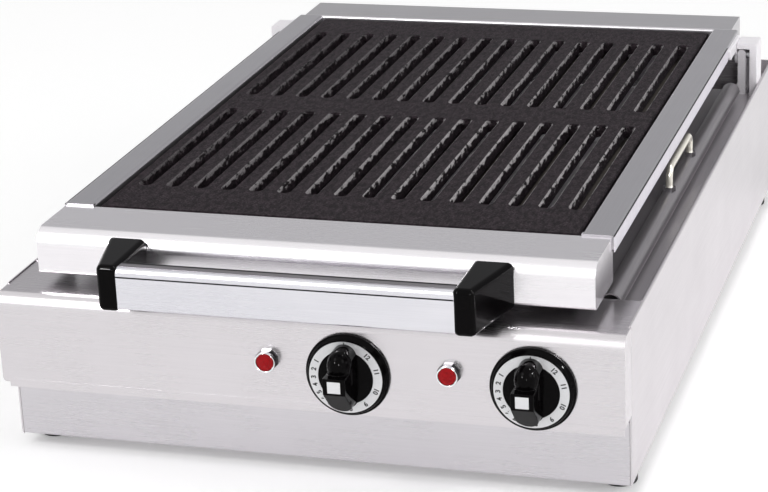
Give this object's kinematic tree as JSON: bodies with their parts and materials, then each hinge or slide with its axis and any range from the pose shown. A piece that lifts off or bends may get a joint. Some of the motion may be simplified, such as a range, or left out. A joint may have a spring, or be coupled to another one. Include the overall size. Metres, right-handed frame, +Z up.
{
  "type": "commercial water grill",
  "caption": "Counter-top electric water grill: stainless casing with knobs and pilot lights, water pan, and a hinged frame holding a slotted cast plate over heating elements.",
  "frame": {"origin": "centre of the bounding box in plan, at the underside of the feet", "axes": "+X to the right seen from the front, +Y to the back, +Z up; the handle and knobs face -Y"},
  "size_m": [0.5, 0.7984, 0.1865],
  "materials": {
    "stainless_satin": "brushed stainless sheet",
    "stainless_rail": "brushed stainless sheet, heat-dulled",
    "cast_plate": "seasoned cast iron",
    "element_sheath": "oxidised tube sheath",
    "polished_steel": "polished",
    "bar_alloy": "satin anodised",
    "black_moulding": "glossy moulding",
    "dial_metal": "satin foil with printed dial",
    "red_lens": "translucent red",
    "insert_plastic": "plain white insert",
    "regulator_plastic": "moulded phenolic",
    "terminal_plastic": "moulded thermoplastic",
    "foot_rubber": "matt rubber",
    "zinc_fastener": "zinc plated"
  },
  "bodies": {
    "base": {"base_plate": "stainless_satin", "cable_gland": "regulator_plastic", "casing_screws": "zinc_fastener", "control_box_wall": "stainless_satin", "control_panel": "stainless_satin", "energy_regulator_left": "regulator_plastic", "energy_regulator_right": "regulator_plastic", "feet": "foot_rubber", "foot_screws": "zinc_fastener", "frame_rest_pads": "foot_rubber", "front_plinth": "stainless_satin", "gutter_ledge_left": "stainless_rail", "gutter_ledge_right": "stainless_rail", "hinge_ears": "stainless_satin", "hinge_pins": "zinc_fastener", "hinge_post_left": "stainless_satin", "hinge_post_right": "stainless_satin", "pan_handle_left": "polished_steel", "pan_handle_nuts": "polished_steel", "pan_handle_right": "polished_steel", "pan_rest_rails": "stainless_rail", "pan_rim_left": "stainless_satin", "pan_rim_right": "stainless_satin", "pilot_bezel_left": "polished_steel", "pilot_bezel_right": "polished_steel", "pilot_lampholders": "regulator_plastic", "pilot_lens_left": "red_lens", "pilot_lens_right": "red_lens", "rear_panel": "stainless_satin", "regulator_nuts": "zinc_fastener", "side_panel_left": "stainless_satin", "side_panel_right": "stainless_satin", "terminal_block": "terminal_plastic", "water_pan": "stainless_satin"},
    "grill_frame": {"frame_fascia": "stainless_satin", "side_rail_left": "stainless_rail", "side_rail_right": "stainless_rail", "rear_rail": "stainless_rail", "rear_rail_cover": "stainless_rail", "grill_plate": "cast_plate", "heating_element_left": "element_sheath", "heating_element_right": "element_sheath", "element_supports": "stainless_rail", "element_terminals": "zinc_fastener", "hinge_arm_left": "stainless_rail", "hinge_arm_right": "stainless_rail", "handle_bracket_left": "black_moulding", "handle_bracket_right": "black_moulding", "handle_bar": "bar_alloy", "handle_screws": "zinc_fastener"},
    "left_knob": {"knob_left": "black_moulding", "dial_ring_left": "dial_metal", "knob_insert_left": "insert_plastic", "regulator_shaft_left": "zinc_fastener"},
    "right_knob": {"knob_right": "black_moulding", "dial_ring_right": "dial_metal", "knob_insert_right": "insert_plastic", "regulator_shaft_right": "zinc_fastener"}
  },
  "joints": [
    {"name": "frame_hinge", "type": "hinge", "parent": "base", "child": "grill_frame", "pos_m": [0, 0.30715, 0.166], "axis": [-1, 0, 0], "range_deg": [0, 75]},
    {"name": "left_knob_turn", "type": "hinge", "parent": "base", "child": "left_knob", "pos_m": [0.038, -0.36285, 0.0955], "axis": [0, 1, 0], "range_deg": [0, 312]},
    {"name": "right_knob_turn", "type": "hinge", "parent": "base", "child": "right_knob", "pos_m": [0.1813, -0.36285, 0.0955], "axis": [0, 1, 0], "range_deg": [0, 312]}
  ]
}
